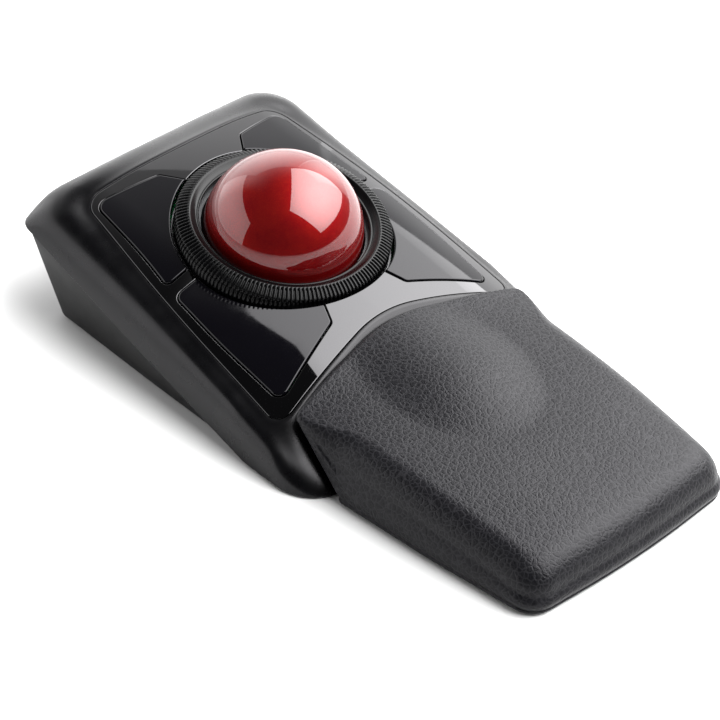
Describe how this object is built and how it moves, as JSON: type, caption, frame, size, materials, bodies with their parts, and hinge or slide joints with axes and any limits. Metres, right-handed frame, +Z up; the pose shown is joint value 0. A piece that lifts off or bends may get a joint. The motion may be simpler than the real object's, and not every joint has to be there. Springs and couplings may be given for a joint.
{
  "type": "trackball mouse",
  "caption": "Desktop trackball with a large ball, a scroll ring round it, corner buttons on a sloping plate and a padded leather wrist rest hooked to the front.",
  "frame": {"origin": "middle of the whole object's footprint, on the table", "axes": "+Y to the back of the device, away from the user; +X to the user's right; +Z up"},
  "size_m": [0.125, 0.2354, 0.065],
  "materials": {
    "shell": "satin black moulded plastic",
    "base": "matt black moulded plastic",
    "bezel": "polished black",
    "button": "semi-gloss black",
    "ball": "deep red pearl under a clear coat",
    "ring": "satin black, knurled",
    "inner_plastic": "moulded",
    "guide": "moulded acetal",
    "bearing": "polished ceramic",
    "lens": "clear",
    "chip": "moulded epoxy",
    "board": "green solder mask",
    "switch": "moulded",
    "plunger": "moulded",
    "steel": "zinc plated",
    "spring": "nickel plated",
    "cell": "printed can",
    "ribbon": "flat cable",
    "knob": "moulded",
    "foot": "soft rubber",
    "leather": "pebble-grain charcoal leather",
    "foam": "open-cell foam",
    "tray": "moulded"
  },
  "bodies": {
    "case": {"bottom_case": "base", "top_shell": "shell", "bezel_plate": "bezel", "body_feet": "foot", "case_screws": "steel", "switch_lower_right": "switch", "switch_lower_left": "switch", "switch_upper_right": "switch", "switch_upper_left": "switch", "ball_socket": "inner_plastic", "support_bearing_back": "bearing", "support_bearing_left": "bearing", "support_bearing_right": "bearing", "socket_screws": "steel", "sensor_lens": "lens", "optical_sensor": "chip", "sensor_board": "board", "ring_guide": "guide", "ring_sensor": "chip", "main_board": "board", "board_screws": "steel", "controller_chip": "chip", "radio_module": "steel", "ribbon_cable": "ribbon", "control_board": "board", "power_switch": "steel", "pairing_switch": "steel", "battery_front": "cell", "battery_back": "cell", "battery_springs": "spring", "battery_plates": "spring"},
    "ball": {"trackball": "ball"},
    "ring": {"scroll_ring": "ring", "ring_encoder": "inner_plastic"},
    "button_lower_right": {"button_lower_right": "button"},
    "button_lower_left": {"button_lower_left": "button"},
    "button_upper_right": {"button_upper_right": "button"},
    "button_upper_left": {"button_upper_left": "button"},
    "plunger_lower_right": {"plunger_lower_right": "plunger"},
    "plunger_lower_left": {"plunger_lower_left": "plunger"},
    "plunger_upper_right": {"plunger_upper_right": "plunger"},
    "plunger_upper_left": {"plunger_upper_left": "plunger"},
    "door": {"battery_door": "base"},
    "slider": {"power_slider": "knob"},
    "pairing": {"pairing_button": "knob"},
    "receiver": {"receiver_plug": "steel", "receiver_cap": "base"},
    "wrist_rest": {"rest_tray": "tray", "rest_foam": "foam", "rest_leather": "leather", "rest_feet": "foot"}
  },
  "joints": [
    {"name": "ball_roll", "type": "hinge", "parent": "case", "child": "ball", "pos_m": [0, 0.04895, 0.0375], "axis": [1, 0, 0], "continuous": true},
    {"name": "ring_spin", "type": "hinge", "parent": "case", "child": "ring", "pos_m": [0, 0.0484, 0.04064], "axis": [0, -0.1736, 0.9848], "continuous": true},
    {"name": "press_lower_right", "type": "hinge", "parent": "case", "child": "button_lower_right", "pos_m": [0.0465, 0.01943, 0.02639], "axis": [0, -0.9848, -0.1736], "range_deg": [0, 1.6], "stiffness_Nm_per_rad": 0.15, "springref_deg": -3.44},
    {"name": "press_lower_left", "type": "hinge", "parent": "case", "child": "button_lower_left", "pos_m": [-0.0465, 0.01943, 0.02639], "axis": [0, 0.9848, 0.1736], "range_deg": [0, 1.6], "stiffness_Nm_per_rad": 0.15, "springref_deg": -3.44},
    {"name": "press_upper_right", "type": "hinge", "parent": "case", "child": "button_upper_right", "pos_m": [0.0465, 0.07951, 0.03699], "axis": [0, -0.9848, -0.1736], "range_deg": [0, 1.6], "stiffness_Nm_per_rad": 0.15, "springref_deg": -3.44},
    {"name": "press_upper_left", "type": "hinge", "parent": "case", "child": "button_upper_left", "pos_m": [-0.0465, 0.07951, 0.03699], "axis": [0, 0.9848, 0.1736], "range_deg": [0, 1.6], "stiffness_Nm_per_rad": 0.15, "springref_deg": -3.44},
    {"name": "click_lower_right", "type": "slide", "parent": "case", "child": "plunger_lower_right", "axis": [0, 0.1736, -0.9848], "range_m": [0, 0.0004]},
    {"name": "click_lower_left", "type": "slide", "parent": "case", "child": "plunger_lower_left", "axis": [0, 0.1736, -0.9848], "range_m": [0, 0.0004]},
    {"name": "click_upper_right", "type": "slide", "parent": "case", "child": "plunger_upper_right", "axis": [0, 0.1736, -0.9848], "range_m": [0, 0.0004]},
    {"name": "click_upper_left", "type": "slide", "parent": "case", "child": "plunger_upper_left", "axis": [0, 0.1736, -0.9848], "range_m": [0, 0.0004]},
    {"name": "battery_door_hinge", "type": "hinge", "parent": "case", "child": "door", "pos_m": [0, 0.0986, 0.0018], "axis": [1, 0, 0], "range_deg": [0, 80]},
    {"name": "power_slide", "type": "slide", "parent": "case", "child": "slider", "axis": [1, 0, 0], "range_m": [0, 0.003]},
    {"name": "pairing_press", "type": "slide", "parent": "case", "child": "pairing", "axis": [0, 0, 1], "range_m": [0, 0.0006], "stiffness_N_per_m": 100, "springref_m": -0.001},
    {"name": "receiver_slide", "type": "slide", "parent": "case", "child": "receiver", "axis": [0, 0, -1], "range_m": [0, 0.018]},
    {"name": "wrist_rest_slide", "type": "slide", "parent": "case", "child": "wrist_rest", "axis": [0, -1, 0], "range_m": [0, 0.03]}
  ],
  "couplings": [
    {"joint": "click_lower_right", "follows": "press_lower_right", "m_per_rad": 0.0115},
    {"joint": "click_lower_left", "follows": "press_lower_left", "m_per_rad": 0.0115},
    {"joint": "click_upper_right", "follows": "press_upper_right", "m_per_rad": 0.0115},
    {"joint": "click_upper_left", "follows": "press_upper_left", "m_per_rad": 0.0115}
  ]
}
